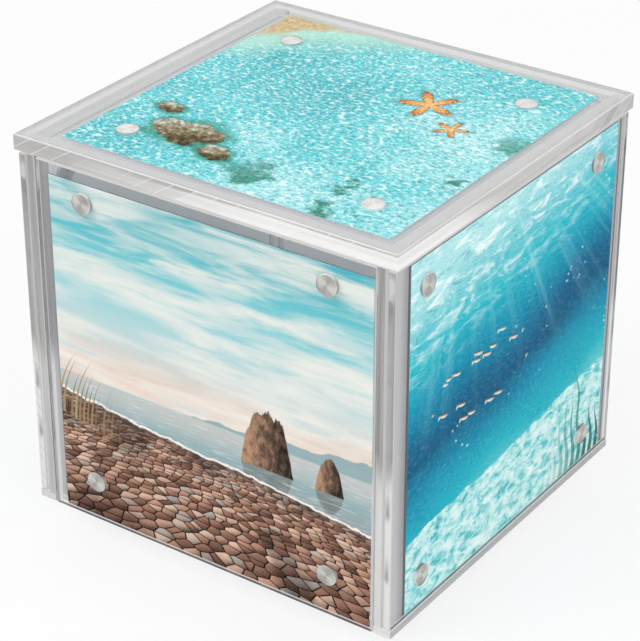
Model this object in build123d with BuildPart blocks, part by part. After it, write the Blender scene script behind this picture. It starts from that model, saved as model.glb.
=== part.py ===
# Rotating photo cube: a clear acrylic box that holds a square print on each of its four sides and
# under its lid, each behind a sheet held on by magnets. It turns on a small ball-bearing turntable.
# Millimetres. The origin is on the floor under the middle of the cube, +Z is up, -Y is the front
# and +X the right side.
import os

from build123d import *

# Prints
print_size = 85.0
print_thickness = 0.3
print_gap = 0.4  # slot between a cover and the wall behind it

# Acrylic sheet
sheet = 2.0
edge_break = 0.2  # eased, polished edges
cover_clearance = 0.3  # round a cover in its place

# Box
slot_room = 4.2  # how much wider than a print the front and back slots are
side_margin = 5.0  # side walls reach past their prints by this, front and back
print_stand = 0.3  # side prints stand this far above the ledge
headroom = 1.7  # from the side prints to the top of the walls
front_print_gap = 1.3  # from a front or back print to the side wall on its right
front_print_rise = 0.2  # front and back prints hang down to this above the underside
side_print_shift = 1.7  # side prints sit this far to the right of the middle

# Lid
lid_overhang = 0.6
lid_cap = 2.45  # acrylic above the lid's magnets
lid_rounding = 0.7
top_print_back = 4.0  # from the lid's back edge to the top print
top_print_left = 7.6  # from the lid's left edge to the top print

# Magnets
magnet_diameter = 5.0
magnet_fit = 0.05  # radial and endwise room in a pocket
magnet_edge = 0.2
pocket_floor = 0.45  # acrylic left in front of a magnet
magnet_inset = 12.5  # from the upright edges of a sheet to the magnets
magnet_rise = 9.8  # lower magnets above the underside of the box
magnet_drop = 8.2  # upper magnets below the top of the walls

# Turntable
foot_diameter = 9.0
foot_height = 1.0
foot_recess = 0.5
foot_fit = 0.05
foot_inset = 7.5  # from the base disc's edge to the middle of a foot
foot_count = 4
ball_diameter = 3.0
ball_count = 16
ball_fit = 0.05  # between a ball and its track or cage
track_diameter = 54.0
track_floor = 1.15  # disc left behind the ball track
disc_gap = 1.0  # between the two discs
disc_rim = 6.0  # from the ball track to the swivel disc's edge
base_lip = 3.0  # base disc beyond the swivel disc
disc_edge = 0.4
cage_width = 5.2
cage_play = 0.2  # between the cage and each disc

# Pivot
pivot_diameter = 5.0
pivot_fit = 0.05
pivot_play = 0.1  # under the washer
head_diameter = 9.0
head_height = 1.4
head_recess = 0.2  # bolt head above the underside of the base disc
head_web = 0.8  # base disc left above the bolt head
head_room = 0.3  # round the bolt head
socket_across = 2.5
socket_depth = 0.9
thread_diameter = 4.0
thread_fit = 0.05
thread_end = 0.4  # thread that shows above the nut
washer_diameter = 10.0
washer_thickness = 0.6
nut_across = 7.0
nut_height = 2.2
nut_room = 2.0  # round the washer in the bottom panel's hole

# Swivel screws
screw_diameter = 2.5
screw_fit = 0.05
screw_setback = 9.0  # screws sit inside the ball track by this
screw_count = 4
screw_tip = 0.3  # from the screw's tip to the underside of the swivel disc
screw_head_diameter = 4.6
screw_head_height = 1.4
screw_head_edge = 0.3
driver_slot = 0.7
driver_depth = 0.6

# Box sizes that follow from the print and the sheet
slot_depth = sheet + print_gap
wall_stack = slot_depth + sheet
slot_width = print_size + slot_room
box_width = slot_width + 2 * wall_stack
box_depth = print_size + 2 * side_margin
box_height = sheet + print_stand + print_size + headroom
panel_depth = box_depth - 2 * wall_stack
lid_width = box_width + 2 * lid_overhang
lid_depth = box_depth + 2 * lid_overhang

# Magnets and their pockets
pocket_depth = sheet - pocket_floor
magnet_thickness = pocket_depth - magnet_fit
magnet_radius = magnet_diameter / 2
pocket_radius = magnet_radius + magnet_fit
lid_thickness = pocket_depth + lid_cap
magnet_span = box_height - magnet_rise - magnet_drop
top_magnets_x = slot_width - 2 * magnet_inset
top_magnets_y = panel_depth - 2 * magnet_inset

# Turntable sizes
ball_radius = ball_diameter / 2
groove_radius = ball_radius + ball_fit
groove_depth = groove_radius - disc_gap / 2
track_radius = track_diameter / 2
swivel_radius = track_radius + disc_rim
base_radius = swivel_radius + base_lip
swivel_thickness = groove_depth + track_floor
base_thickness = max(groove_depth + track_floor, head_recess + head_height + head_web)
foot_circle = base_radius - foot_inset
foot_radius = foot_diameter / 2
screw_circle = track_radius - screw_setback
screw_radius = screw_diameter / 2

# Levels, from the floor up
base_bottom = foot_height
base_top = base_bottom + base_thickness
ball_level = base_top + disc_gap / 2
swivel_bottom = base_top + disc_gap
box_bottom = swivel_bottom + swivel_thickness
panel_top = box_bottom + sheet
walls_top = box_bottom + box_height
lid_bottom = walls_top + print_gap
head_bottom = base_bottom + head_recess
shoulder_top = box_bottom + pivot_play
washer_top = shoulder_top + washer_thickness
nut_top = washer_top + nut_height

os.makedirs("parts", exist_ok=True)


def save(piece, name):
    piece.part.label = name
    export_step(piece.part, f"parts/{name}.step")


# The outer face of one side of the box, with x to the right along it and y up from the underside
def side_face(outward, reach):
    normal = Vector(outward)
    upward = Vector(0, 0, 1)
    return Plane(origin=normal * reach + upward * box_bottom, x_dir=upward.cross(normal), z_dir=normal)


# Round places of one sheet's magnets on a plane, for pockets or for the magnets themselves
def magnet_discs(plane, radius, span_x, span_y, middle_y=0.0):
    with BuildSketch(plane) as discs:
        with Locations((0, middle_y)):
            with GridLocations(span_x, span_y, 2, 2):
                Circle(radius)
    return discs.sketch


# One side of the box: the wall, the print in front of it, the cover and both sets of magnets
def make_side(name, face, wall_width, cover_width, cover_foot, print_x, print_foot):
    wall_face = face.offset(-slot_depth)
    cover_top = box_height - cover_clearance
    span_x = wall_width - 2 * magnet_inset
    magnet_middle = magnet_rise + magnet_span / 2

    with BuildPart() as wall:
        with BuildSketch(wall_face):
            with Locations((0, sheet)):
                Rectangle(wall_width, box_height - sheet, align=(Align.CENTER, Align.MIN))
        extrude(amount=-sheet)
        chamfer(wall.edges().filter_by(Axis.Z), edge_break)
        pockets = magnet_discs(wall_face, pocket_radius, span_x, magnet_span, magnet_middle)
        extrude(pockets, amount=-pocket_depth, mode=Mode.SUBTRACT)
    save(wall, f"{name}_wall")

    with BuildPart() as wall_magnets:
        seat = wall_face.offset(-magnet_fit / 2)
        discs = magnet_discs(seat, magnet_radius, span_x, magnet_span, magnet_middle)
        extrude(discs, amount=-magnet_thickness)
        chamfer(wall_magnets.edges().filter_by(GeomType.CIRCLE), magnet_edge)
    save(wall_magnets, f"{name}_wall_magnets")

    with BuildPart() as photo_print:
        with BuildSketch(wall_face.offset((print_gap - print_thickness) / 2)):
            with Locations((print_x, print_foot)):
                Rectangle(print_size, print_size, align=(Align.CENTER, Align.MIN))
        extrude(amount=print_thickness)
    save(photo_print, f"{name}_print")

    with BuildPart() as cover:
        with BuildSketch(face):
            with Locations((0, cover_foot)):
                Rectangle(cover_width, cover_top - cover_foot, align=(Align.CENTER, Align.MIN))
        extrude(amount=-sheet)
        chamfer(cover.edges(), edge_break)
        pockets = magnet_discs(face.offset(-sheet), pocket_radius, span_x, magnet_span, magnet_middle)
        extrude(pockets, amount=pocket_depth, mode=Mode.SUBTRACT)
    save(cover, f"{name}_cover")

    with BuildPart() as cover_magnets:
        seat = face.offset(magnet_fit / 2 - sheet)
        discs = magnet_discs(seat, magnet_radius, span_x, magnet_span, magnet_middle)
        extrude(discs, amount=magnet_thickness)
        chamfer(cover_magnets.edges().filter_by(GeomType.CIRCLE), magnet_edge)
    save(cover_magnets, f"{name}_cover_magnets")


# Front and back fit between the side walls, and their covers reach down to the underside
for name, outward in {"front": (0, -1, 0), "back": (0, 1, 0)}.items():
    make_side(
        name,
        side_face(outward, box_depth / 2),
        wall_width=slot_width,
        cover_width=slot_width - 2 * cover_clearance,
        cover_foot=0.0,
        print_x=slot_room / 2 - front_print_gap,
        print_foot=front_print_rise,
    )

# Left and right run the whole depth of the box, and their covers stand on the bottom panel's ledge
for name, outward in {"left": (-1, 0, 0), "right": (1, 0, 0)}.items():
    make_side(
        name,
        side_face(outward, box_width / 2),
        wall_width=box_depth,
        cover_width=box_depth,
        cover_foot=sheet + cover_clearance,
        print_x=side_print_shift,
        print_foot=sheet + print_stand,
    )

# Bottom panel, notched for the front and back covers
with BuildPart() as bottom_panel:
    with BuildSketch(Plane.XY.offset(box_bottom)):
        Rectangle(box_width, box_depth)
        with Locations((0, -box_depth / 2)):
            Rectangle(slot_width, slot_depth, align=(Align.CENTER, Align.MIN), mode=Mode.SUBTRACT)
        with Locations((0, box_depth / 2)):
            Rectangle(slot_width, slot_depth, align=(Align.CENTER, Align.MAX), mode=Mode.SUBTRACT)
    extrude(amount=sheet)
    chamfer(bottom_panel.faces().sort_by(Axis.Z)[0].edges(), edge_break)
    with Locations((0, 0, panel_top)):
        Hole(washer_diameter / 2 + nut_room)
        with PolarLocations(screw_circle, screw_count):
            Hole(screw_radius + screw_fit)
save(bottom_panel, "bottom_panel")

# Top panel, level with the tops of the walls round it
with BuildPart() as top_panel:
    with BuildSketch(Plane.XY.offset(walls_top)):
        Rectangle(slot_width, panel_depth)
    extrude(amount=-sheet)
    pockets = magnet_discs(Plane.XY.offset(walls_top), pocket_radius, top_magnets_x, top_magnets_y)
    extrude(pockets, amount=-pocket_depth, mode=Mode.SUBTRACT)
save(top_panel, "top_panel")

with BuildPart() as top_panel_magnets:
    seat = Plane.XY.offset(walls_top - magnet_fit / 2)
    extrude(magnet_discs(seat, magnet_radius, top_magnets_x, top_magnets_y), amount=-magnet_thickness)
    chamfer(top_panel_magnets.edges().filter_by(GeomType.CIRCLE), magnet_edge)
save(top_panel_magnets, "top_panel_magnets")

# Top print, which lies on the top panel and the walls
with BuildPart() as top_print:
    with BuildSketch(Plane.XY.offset(walls_top + (print_gap - print_thickness) / 2)):
        with Locations((top_print_left - lid_width / 2, lid_depth / 2 - top_print_back)):
            Rectangle(print_size, print_size, align=(Align.MIN, Align.MAX))
    extrude(amount=print_thickness)
save(top_print, "top_print")

# Lid, a thicker plate that overhangs the box all round
with BuildPart() as lid:
    with BuildSketch(Plane.XY.offset(lid_bottom)):
        Rectangle(lid_width, lid_depth)
    extrude(amount=lid_thickness)
    fillet(lid.faces().sort_by(Axis.Z)[-1].edges(), lid_rounding)
    chamfer(lid.faces().sort_by(Axis.Z)[0].edges(), edge_break)
    pockets = magnet_discs(Plane.XY.offset(lid_bottom), pocket_radius, top_magnets_x, top_magnets_y)
    extrude(pockets, amount=pocket_depth, mode=Mode.SUBTRACT)
save(lid, "lid")

with BuildPart() as lid_magnets:
    seat = Plane.XY.offset(lid_bottom + magnet_fit / 2)
    extrude(magnet_discs(seat, magnet_radius, top_magnets_x, top_magnets_y), amount=magnet_thickness)
    chamfer(lid_magnets.edges().filter_by(GeomType.CIRCLE), magnet_edge)
save(lid_magnets, "lid_magnets")

# Base disc of the turntable, with the lower ball track, foot recesses and the pivot's seat
with BuildPart() as base_disc:
    with BuildSketch(Plane.XY.offset(base_bottom)):
        Circle(base_radius)
    extrude(amount=base_thickness)
    chamfer(base_disc.edges().filter_by(GeomType.CIRCLE), disc_edge)
    with Locations((0, 0, ball_level)):
        Torus(track_radius, groove_radius, mode=Mode.SUBTRACT)
    with BuildSketch(Plane.XY.offset(base_bottom)):
        with PolarLocations(foot_circle, foot_count):
            Circle(foot_radius + foot_fit)
    extrude(amount=foot_recess, mode=Mode.SUBTRACT)
    with BuildSketch(Plane.XY.offset(base_bottom)):
        Circle(head_diameter / 2 + head_room)
    extrude(amount=head_recess + head_height, mode=Mode.SUBTRACT)
    with Locations((0, 0, base_top)):
        Hole(pivot_diameter / 2 + pivot_fit)
save(base_disc, "base_disc")

with BuildPart() as foot_pads:
    with BuildSketch():
        with PolarLocations(foot_circle, foot_count):
            Circle(foot_radius)
    extrude(amount=foot_height + foot_recess)
    chamfer(foot_pads.edges().group_by(Axis.Z)[0], edge_break)
save(foot_pads, "foot_pads")

# Balls and the cage that spaces them
with BuildPart() as bearing_balls:
    with Locations((0, 0, ball_level)):
        with PolarLocations(track_radius, ball_count):
            Sphere(ball_radius)
save(bearing_balls, "bearing_balls")

with BuildPart() as ball_cage:
    with BuildSketch(Plane.XY.offset(base_top + cage_play)):
        Circle(track_radius + cage_width / 2)
        Circle(track_radius - cage_width / 2, mode=Mode.SUBTRACT)
        with PolarLocations(track_radius, ball_count):
            Circle(groove_radius, mode=Mode.SUBTRACT)
    extrude(amount=disc_gap - 2 * cage_play)
save(ball_cage, "ball_cage")

# Swivel disc, screwed to the bottom panel, with the upper ball track
with BuildPart() as swivel_disc:
    with BuildSketch(Plane.XY.offset(swivel_bottom)):
        Circle(swivel_radius)
    extrude(amount=swivel_thickness)
    chamfer(swivel_disc.edges().filter_by(GeomType.CIRCLE), disc_edge)
    with Locations((0, 0, ball_level)):
        Torus(track_radius, groove_radius, mode=Mode.SUBTRACT)
    with Locations((0, 0, box_bottom)):
        Hole(pivot_diameter / 2 + pivot_fit)
        with PolarLocations(screw_circle, screw_count):
            Hole(screw_radius + screw_fit)
save(swivel_disc, "swivel_disc")

with BuildPart() as swivel_screws:
    with BuildSketch(Plane.XY.offset(panel_top)):
        with PolarLocations(screw_circle, screw_count):
            Circle(screw_head_diameter / 2)
    extrude(amount=screw_head_height)
    chamfer(swivel_screws.edges().group_by(Axis.Z)[-1], screw_head_edge)
    with BuildSketch(Plane.XY.offset(panel_top + screw_head_height)):
        with PolarLocations(screw_circle, screw_count):
            Rectangle(screw_head_diameter, driver_slot)
    extrude(amount=-driver_depth, mode=Mode.SUBTRACT)
    with BuildSketch(Plane.XY.offset(swivel_bottom + screw_tip)):
        with PolarLocations(screw_circle, screw_count):
            Circle(screw_radius)
    extrude(amount=panel_top - swivel_bottom - screw_tip)
save(swivel_screws, "swivel_screws")

# Pivot bolt, which holds the two discs together and stays with the base
with BuildPart() as pivot_bolt:
    with BuildSketch(Plane.XY.offset(head_bottom)):
        Circle(head_diameter / 2)
    extrude(amount=head_height)
    chamfer(pivot_bolt.edges().group_by(Axis.Z)[0], edge_break)
    with BuildSketch(Plane.XY.offset(head_bottom)):
        RegularPolygon(socket_across / 2, 6, major_radius=False)
    extrude(amount=socket_depth, mode=Mode.SUBTRACT)
    with BuildSketch(Plane.XY.offset(head_bottom + head_height)):
        Circle(pivot_diameter / 2)
    extrude(amount=shoulder_top - head_bottom - head_height)
    with BuildSketch(Plane.XY.offset(shoulder_top)):
        Circle(thread_diameter / 2)
    extrude(amount=nut_top + thread_end - shoulder_top)
    chamfer(pivot_bolt.edges().group_by(Axis.Z)[-1], edge_break)
save(pivot_bolt, "pivot_bolt")

with BuildPart() as pivot_washer:
    with BuildSketch(Plane.XY.offset(shoulder_top)):
        Circle(washer_diameter / 2)
        Circle(thread_diameter / 2 + thread_fit, mode=Mode.SUBTRACT)
    extrude(amount=washer_thickness)
save(pivot_washer, "pivot_washer")

with BuildPart() as pivot_nut:
    with BuildSketch(Plane.XY.offset(washer_top)):
        RegularPolygon(nut_across / 2, 6, major_radius=False)
        Circle(thread_diameter / 2 + thread_fit, mode=Mode.SUBTRACT)
    extrude(amount=nut_height)
save(pivot_nut, "pivot_nut")

print(f"box {box_width:.1f} x {box_depth:.1f} x {box_height:.1f}, lid {lid_width:.1f} x {lid_depth:.1f}")
print(f"whole height {lid_bottom + lid_thickness:.1f}, of which turntable {box_bottom:.1f}")
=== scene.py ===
import math
from functools import reduce

import bpy
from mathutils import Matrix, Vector


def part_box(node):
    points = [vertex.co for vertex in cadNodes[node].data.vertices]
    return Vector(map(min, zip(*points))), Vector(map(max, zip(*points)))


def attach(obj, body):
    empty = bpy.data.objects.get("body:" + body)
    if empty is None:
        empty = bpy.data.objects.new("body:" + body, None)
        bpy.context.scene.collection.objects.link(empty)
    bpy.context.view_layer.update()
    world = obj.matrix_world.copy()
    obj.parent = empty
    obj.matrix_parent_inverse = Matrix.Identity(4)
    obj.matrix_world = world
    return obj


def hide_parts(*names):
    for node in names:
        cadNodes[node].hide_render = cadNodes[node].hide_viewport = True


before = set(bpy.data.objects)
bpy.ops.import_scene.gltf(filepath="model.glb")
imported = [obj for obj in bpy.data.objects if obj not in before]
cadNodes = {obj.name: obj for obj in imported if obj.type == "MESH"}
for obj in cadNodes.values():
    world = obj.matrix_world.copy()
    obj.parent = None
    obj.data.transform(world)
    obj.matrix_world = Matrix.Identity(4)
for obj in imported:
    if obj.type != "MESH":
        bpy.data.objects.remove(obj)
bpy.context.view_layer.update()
scene = bpy.context.scene
print("frame loaded:", len(cadNodes), "CAD nodes")


# small helpers for node trees; most find their tree from the sockets that they are given

def tone(code):  # screen colour "#rrggbb" to the linear colour that Blender mixes
    parts = [int(code[i:i + 2], 16) / 255 for i in (1, 3, 5)]
    return tuple(p / 12.92 if p <= 0.04045 else ((p + 0.055) / 1.055) ** 2.4 for p in parts) + (1.0,)


def feed(socket, value):  # a link for a socket, a colour for a colour code, a plain value for the rest
    if isinstance(value, bpy.types.NodeSocket):
        socket.id_data.links.new(value, socket)
    else:
        socket.default_value = tone(value) if isinstance(value, str) else value


def feedAll(node, values):
    for key, value in values.items():
        feed(node.inputs[key], value)


def put(kind, inputs=None, tree=None, **settings):  # a node without a linked input needs its tree
    inputs = inputs or {}
    if tree is None:
        tree = next(value.id_data for value in inputs.values() if isinstance(value, bpy.types.NodeSocket))
    node = tree.nodes.new(kind)
    for key, value in settings.items():
        setattr(node, key, value)
    feedAll(node, inputs)
    return node


def calc(operation):  # a function that adds one math node
    return lambda *values: put("ShaderNodeMath", dict(enumerate(values)), operation=operation).outputs[0]


def chain(operation):  # the same for two values or more
    return lambda *values: reduce(calc(operation), values)


plus, minus, times, larger, smaller = map(chain, ("ADD", "SUBTRACT", "MULTIPLY", "MAXIMUM", "MINIMUM"))
scaled, divided, power, root = map(calc, ("MULTIPLY_ADD", "DIVIDE", "POWER", "SQRT"))
absolute, sign, wholePart, fraction = map(calc, ("ABSOLUTE", "SIGN", "FLOOR", "FRACT"))
sine, cosine, angleOf = map(calc, ("SINE", "COSINE", "ARCTAN2"))


def dot(vector, direction):
    return put("ShaderNodeVectorMath", {0: vector, 1: direction}, operation="DOT_PRODUCT").outputs["Value"]


def coordinate(vector, axis):
    return dot(vector, [float(name == axis) for name in "xyz"])


def apart(vector, start):
    return put("ShaderNodeVectorMath", {0: vector, 1: start}, operation="SUBTRACT").outputs[0]


def point(x, y, z=0.0):
    return put("ShaderNodeCombineXYZ", {0: x, 1: y, 2: z}).outputs[0]


def soft(value, low, high):  # eases from 0 to 1 between low and high
    node = put("ShaderNodeMapRange", {"Value": value, "From Min": low, "From Max": high},
               interpolation_type="SMOOTHSTEP")
    return node.outputs["Result"]


def mix(share, first, second, blend="MIX"):  # of two colours
    node = put("ShaderNodeMix", {0: share, 6: first, 7: second}, data_type="RGBA", blend_type=blend)
    return node.outputs[2]


def mixShader(share, first, second):
    return put("ShaderNodeMixShader", {0: share, 1: first.outputs[0], 2: second.outputs[0]})


def ramp(value, stops):
    node = put("ShaderNodeValToRGB", {0: value})
    bar = node.color_ramp
    while len(bar.elements) < len(stops):
        bar.elements.new(1.0)
    for element, (place, code) in zip(bar.elements, stops):
        element.position = place
        element.color = tone(code)
    return node.outputs[0]


def moved(vector, scale=(1, 1, 1), turn=0.0, shift=(0, 0, 0)):
    node = put("ShaderNodeMapping", {"Vector": vector, "Scale": scale, "Location": shift})
    node.inputs["Rotation"].default_value = (0, 0, math.radians(turn))
    return node.outputs[0]


def noise(vector, scale, detail=3.0, rough=0.5, wander=0.0):
    inputs = {"Vector": vector, "Scale": scale, "Detail": detail, "Roughness": rough, "Distortion": wander}
    return put("ShaderNodeTexNoise", inputs).outputs[0]


def cells(vector, scale, spread=1.0, feature="F1", space="2D"):
    inputs = {"Vector": vector, "Scale": scale, "Randomness": spread}
    return put("ShaderNodeTexVoronoi", inputs, feature=feature, voronoi_dimensions=space).outputs


def draw(value):  # one random number for each value
    return put("ShaderNodeTexWhiteNoise", {"W": value}, noise_dimensions="1D").outputs[0]


def coords(tree):
    return put("ShaderNodeTexCoord", tree=tree).outputs


def redOf(colour):  # cells have random colours, so this draws a number for each
    return put("ShaderNodeSeparateColor", {0: colour}).outputs[0]


def distance(across, up):
    return root(plus(times(across, across), times(up, up)))


def bump(height, strength, distance):
    return put("ShaderNodeBump", {"Height": height, "Strength": strength, "Distance": distance}).outputs[0]


def newGroup(name, build, inputs):  # a shader node group; build returns its outputs by name
    tree = bpy.data.node_groups.new(name, "ShaderNodeTree")
    kinds = {1: "NodeSocketFloat", 3: "NodeSocketVector", 4: "NodeSocketColor"}
    for label, value in inputs.items():
        kind = kinds[len(value) if isinstance(value, tuple) else 1]
        tree.interface.new_socket(name=label, in_out="INPUT", socket_type=kind).default_value = value
    made = build(tree.nodes.new("NodeGroupInput").outputs)
    for label, socket in made.items():
        kind = kinds[4 if socket.type == "RGBA" else 1]
        tree.interface.new_socket(name=label, in_out="OUTPUT", socket_type=kind)
    put("NodeGroupOutput", made, tree)
    return tree


def placeGroup(group, inputs):
    return put("ShaderNodeGroup", inputs, node_tree=group).outputs


def newMaterial(name):
    material = bpy.data.materials.new(name)
    material.use_nodes = True
    tree = material.node_tree
    return material, tree, tree.nodes["Principled BSDF"]


# shared effects

def buildScratches(given):
    fine = noise(moved(given["Place"], scale=(1, 14, 3), turn=23), given["Scale"], 4, 0.6)
    cross = noise(moved(given["Place"], scale=(16, 1, 4), turn=-31), given["Scale"], 4, 0.6)
    smear = soft(noise(given["Place"], 60.0, 3, 0.55), 0.38, 0.72)
    return {"Marks": larger(soft(fine, 0.60, 0.80), soft(cross, 0.62, 0.82)), "Smear": smear}


def buildGrainPaper(given):
    speck = noise(given["Place"], 5200.0, 2, 0.7)
    fibre = noise(moved(given["Place"], scale=(1, 2.5, 1)), 900.0, 4, 0.6)
    inked = mix(times(speck, 0.10), given["Picture"], "#dfe6e4", "OVERLAY")
    paper = ramp(fibre, [(0.3, "#e9ebee"), (0.7, "#f5f7f9")])
    # the paper's cut sides are darkened: painted shade
    paper = mix(given["Cut"], paper, "#716f73")
    rough = plus(times(fibre, 0.12), scaled(given["Face"], -0.32, 0.62))
    height = plus(times(speck, 0.35), fibre)
    return {"Colour": mix(given["Face"], paper, inked), "Roughness": rough, "Height": height}


def buildCaustics(given):  # the bright net that ripples throw on a sea bed
    drift = put("ShaderNodeTexNoise", {"Vector": given["Place"], "Scale": 5.0, "Detail": 3.0}).outputs[1]
    shifted = put("ShaderNodeVectorMath", {0: drift, 1: given["Wander"], 2: given["Place"]},
                  operation="MULTIPLY_ADD").outputs[0]
    layers = []
    for turn, scale, right, up in ((0, 1.0, 0, 0), (37, 1.27, 0.31, 0.73), (71, 0.83, 0.67, 0.19)):
        layer = moved(shifted, scale=(scale, scale, 1), turn=turn, shift=(right, up, 0))
        layers.append(cells(layer, given["Scale"])["Distance"])
    return {"Net": smaller(power(times(smaller(*layers), 1.75), 3.2), 1.0)}


def buildClouds(given):  # long thin cloud bands
    low = noise(moved(given["Place"], scale=(1.3, 7.5, 1), turn=-9), 1.6, 6, 0.55, 0.5)
    thin = noise(moved(given["Place"], scale=(1.6, 15, 1), turn=-13, shift=(3.1, 1.7, 0)), 2.1, 6, 0.6, 0.7)
    bands = scaled(thin, 0.45, times(low, 0.75))
    return {"Cover": soft(bands, given["Low"], given["High"]), "Grey": soft(thin, 0.45, 0.75)}


def buildRidge(given):  # 1 below a hilly skyline
    across = scaled(given["Across"], given["Peaks"], given["Seed"])
    line = put("ShaderNodeTexNoise", {"W": across, "Scale": 1.0, "Detail": 7.0, "Roughness": 0.52},
               noise_dimensions="1D").outputs[0]
    skyline = scaled(minus(line, 0.5), given["Relief"], given["Level"])
    depth = minus(skyline, given["Up"])
    return {"Land": soft(depth, -0.002, 0.003), "Depth": depth}


def buildBlades(given):  # a row of bending blades, such as grass or weed
    rise = minus(given["Up"], given["Root"])
    curve = times(rise, rise, given["Lean"])
    sway = times(sine(times(rise, 34.0)), given["Sway"])
    across = times(minus(given["Across"], curve, sway), given["Count"])
    lot = draw(plus(wholePart(across), given["Seed"]))
    share = divided(rise, times(scaled(lot, 0.75, 0.25), given["Height"]))
    width = times(minus(1.0, share), 0.36)
    middle = absolute(minus(fraction(across), 0.5))
    blade = soft(minus(width, middle), -0.03, 0.06)
    standing = times(soft(rise, -0.004, 0.0), soft(share, 1.0, 0.97))
    return {"Blade": times(blade, standing), "Tone": lot}


scratches = newGroup("scratches", buildScratches, {"Place": (0, 0, 0), "Scale": 300.0})
grainPaper = newGroup("grainPaper", buildGrainPaper, {
    "Place": (0, 0, 0), "Picture": (1, 1, 1, 1), "Face": 1.0, "Cut": 0.0})
causticNet = newGroup("causticNet", buildCaustics, {
    "Place": (0, 0, 0), "Scale": 8.0, "Wander": (0.1, 0.1, 0)})
cloudBands = newGroup("cloudBands", buildClouds, {"Place": (0, 0, 0), "Low": 0.5, "High": 0.7})
ridgeLine = newGroup("ridgeLine", buildRidge, {
    "Across": 0.0, "Up": 0.0, "Level": 0.5, "Relief": 0.1, "Peaks": 3.0, "Seed": 0.0})
bladeRow = newGroup("bladeRow", buildBlades, {
    "Across": 0.0, "Up": 0.0, "Root": 0.0, "Height": 0.2, "Count": 40.0, "Lean": 0.5, "Sway": 0.0,
    "Seed": 0.0})
print("shared effects ready")


# clear acrylic for the covers, walls, lid and plates

acrylicLook = {
    "ior": 1.49,
    "tint": "#fcfdfd",
    "mirror": 0.05,       # share of the plain reflection that is kept, as through a polarising filter
    "faceRough": 0.003,
    "smearRough": 0.010,
    "edgeRough": 0.04,
    "streakRough": 0.12,
    "milkRough": 0.18,
    "milkShine": 0.3,
    "bevelHighlightShare": 0.80,
    "haze": "#d0d1d3",
    # colour of the painted highlight low on the lid's edge
    "white": "#f6f5f4",
    "foot": (0.058, 0.048),  # heights between which an edge takes on the painted light at its foot, which stands for the white floor seen through the sheet
}
edgeLooks = {  # cut edges are a little milky, with soft streaks; painted light from the floor at the foot, dimmer on edges that face sideways; painted highlights on the bevels; painted light on the upper ends and painted shade on the lower ends
    "upright": {"milk": 0.88, "streak": 0.08, "dark": "#8c8b8b", "pale": "#a7a6a4",
                "bevelHighlight": "#bfbebd", "footBevel": "#c6c5c5", "foot": "#e6e5e4", "footSide": "#b4b3b2",
                # colour for the saw lines, and for painted shade and reflections in the edge
                "top": "#c9c8c7", "under": "#6b696c", "sawAndShade": "#807e81", "glint": "#e4e3e2",
                "brink": "#929093"},
    "flat": {"milk": 0.76, "streak": 0.14, "dark": "#b7b5b3", "pale": "#c9c7c5",
             "bevelHighlight": "#dad9d8", "footBevel": "#b7b6b6", "foot": "#efeeec", "footSide": "#a3a2a4",
             "top": "#d0cecd", "under": "#b7b5b3", "tile": "#a19d9b"},
}
rimLooks = {  # frosted margins of the walls past the prints, of the covers' ends and of the lid's overhang, paler at the foot with painted floor light, and a painted shadow line beside the prints
    "across": {"share": 0.86, "near": "#9b999c", "colour": "#bfbebf", "foot": 0.0, "line": "#605e63"},
    "along": {"share": 0.84, "near": "#929192", "colour": "#a2a1a2", "foot": 0.35, "line": "#6a686b"},
    "cover": {"share": 0.7, "foot": 0.85, "reach": (0.0014, 0.0010)},
    "lid": {"share": 0.6, "colour": "#bfbebf", "x": (0.0462, 0.0472), "y": (0.0447, 0.0457)},
    "shadowLineShare": 0.85,
}
lidLook = {
    "sawLean": (1, 1, -1.6),
    "sawPace": 1120.0 / (2 * math.pi),
    "tileShare": 0.75,
    "frontCorner": (0.55, -1, 0),
    "brim": 0.0983,        # the painted highlight's upper edge, and how far it climbs at the front corner
    "brimClimb": 0.0010,
    "cornerHighlightShare": 0.9,
}
sawAndLightLook = {  # saw lines, painted reflections and a painted glint and shade in the upright edges; lengths in metres
    "sawLean": -1.1, "sawWave": 0.004, "sawPace": 2300.0, "sawShare": 0.26,
    "lensStep": 0.0145, "lensWave": 0.9, "lensShare": 0.25, "lensAtFloorLight": 0.50,
    "blotRise": 0.007, "blotWave": 0.006, "blotShare": 0.55, "shadeDrop": 0.0044, "shadeShare": 0.6,
}
magnetLook = {
    "radius": 0.0025,
    "squareness": 13.0,    # how square the edge is
    "segments": 56,
    "rings": 17,
    "turns": {"y": (math.radians(90), 0, 0), "x": (math.radians(90), 0, math.radians(90)), "z": (0, 0, 0)},
}


def sheetDepth(place, facing, model):  # how far a point lies outward from the middle of a sheet
    low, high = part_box(model)
    middle = abs(low.dot(Vector(facing)) + high.dot(Vector(facing))) / 2
    return minus(absolute(dot(place, facing)), middle)


def printRim(place, rim):  # how far a point lies past the print's sides, and a thin painted shadow line along its left edge
    x, y, z = (coordinate(place, axis) for axis in "xyz")
    across = rim == "across"
    axis, model = (1, "right_print") if across else (0, "front_print")
    low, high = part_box(model)
    # rightward on each sheet, as seen from outside
    rightward = times(y, sign(x)) if across else times(x, times(sign(y), -1.0))
    left, right = minus(low[axis], rightward), minus(rightward, high[axis])
    line = times(soft(left, -0.00015, -0.00005), soft(left, 0.0006, 0.0003))
    line = times(line, soft(z, high.z + 0.0002, high.z - 0.0002))
    if across:  # one more painted shadow line at the far end, where two sheets meet
        line = larger(line, soft(absolute(minus(right, 0.0018)), 0.0005, 0.0002))
    return larger(left, right), line


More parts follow.
